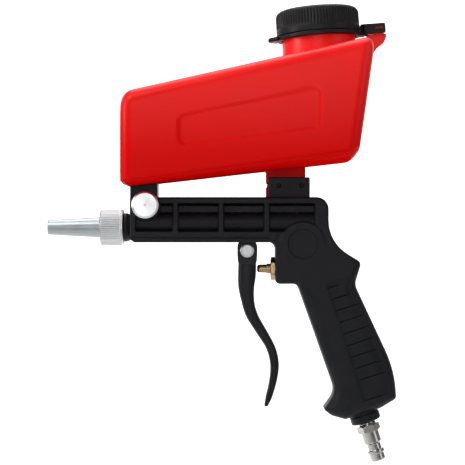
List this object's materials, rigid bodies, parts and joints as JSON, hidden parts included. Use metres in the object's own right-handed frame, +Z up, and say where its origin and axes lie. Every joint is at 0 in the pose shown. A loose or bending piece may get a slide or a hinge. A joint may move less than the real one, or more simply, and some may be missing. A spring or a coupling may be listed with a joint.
{
  "type": "gravity feed sandblaster gun",
  "caption": "Pistol-shaped air sandblasting gun with a sloped gravity hopper and hinged screw cap on top, a screwed nozzle, a media valve knob and a long lever trigger.",
  "frame": {"origin": "Centre of the nozzle's outlet.", "axes": "+X from the nozzle's outlet along its axis to the back of the gun, +Z up towards the hopper, +Y to the gun's right-hand side; the body shells meet at Y = 0."},
  "size_m": [0.2424, 0.09, 0.3183],
  "materials": {
    "body_plastic": "satin black moulded nylon, lightly textured",
    "hopper_plastic": "glossy red blow-moulded plastic",
    "cap_plastic": "satin black plastic with fine grip ribs",
    "trigger_paint": "satin black powder coat",
    "black_fitting": "black anodised fitting",
    "polished_aluminium": "turned and polished",
    "nut_aluminium": "turned, straight knurled",
    "plated_steel": "nickel plated, turned",
    "screw_steel": "dark zinc plated",
    "brass": "machined brass",
    "tube_metal": "drawn tube",
    "black_rubber": "nitrile rubber",
    "seal_liner": "pale foam liner"
  },
  "bodies": {
    "gun_frame": {"body_left": "body_plastic", "body_right": "body_plastic", "body_screws": "screw_steel", "hopper": "hopper_plastic", "hopper_screws": "screw_steel", "outlet_seal": "black_rubber", "mixing_barrel": "black_fitting", "nozzle": "polished_aluminium", "nozzle_washer": "black_rubber", "air_jet": "brass", "air_pipe": "tube_metal", "valve_body": "brass", "valve_gland": "brass", "stem_seal": "black_rubber", "valve_spring": "plated_steel", "valve_plug": "brass", "inlet_pipe": "tube_metal", "inlet_collar": "black_fitting", "air_plug": "plated_steel", "trigger_pin": "plated_steel", "trigger_pin_clip": "plated_steel"},
    "trigger_body": {"trigger": "trigger_paint"},
    "valve_stem_body": {"valve_stem": "brass", "poppet_seal": "black_rubber"},
    "nut_body": {"nozzle_nut": "nut_aluminium"},
    "feed_valve_body": {"feed_valve": "plated_steel", "flow_knob": "polished_aluminium", "feed_valve_seals": "black_rubber", "feed_valve_clip": "plated_steel"},
    "tether_body": {"cap_tether": "cap_plastic"},
    "cap_body": {"hopper_cap": "cap_plastic", "cap_seal": "seal_liner"}
  },
  "joints": [
    {"name": "trigger_pull", "type": "hinge", "parent": "gun_frame", "child": "trigger_body", "pos_m": [0.1394, 0, -0.016], "axis": [0, -1, 0], "range_deg": [0, 16], "stiffness_Nm_per_rad": 1.5, "springref_deg": -14.32},
    {"name": "valve_travel", "type": "slide", "parent": "gun_frame", "child": "valve_stem_body", "axis": [1, 0, 0], "range_m": [0, 0.00408], "deforming": ["valve_spring"]},
    {"name": "nut_turn", "type": "hinge", "parent": "gun_frame", "child": "nut_body", "pos_m": [0.045, 0, 0], "axis": [-1, 0, 0], "continuous": true},
    {"name": "feed_knob_turn", "type": "hinge", "parent": "gun_frame", "child": "feed_valve_body", "pos_m": [0.069, 0, 0.0154], "axis": [0, -1, 0], "range_deg": [0, 90]},
    {"name": "tether_swing", "type": "hinge", "parent": "gun_frame", "child": "tether_body", "pos_m": [0.23126, 0, 0.13684], "axis": [0, 1, 0], "range_deg": [0, 115]},
    {"name": "cap_turn", "type": "hinge", "parent": "tether_body", "child": "cap_body", "pos_m": [0.1892, 0, 0.1348], "axis": [-0.0698, 0, 0.9976], "continuous": true}
  ],
  "couplings": [
    {"joint": "valve_travel", "follows": "trigger_pull", "m_per_rad": 0.01455}
  ]
}
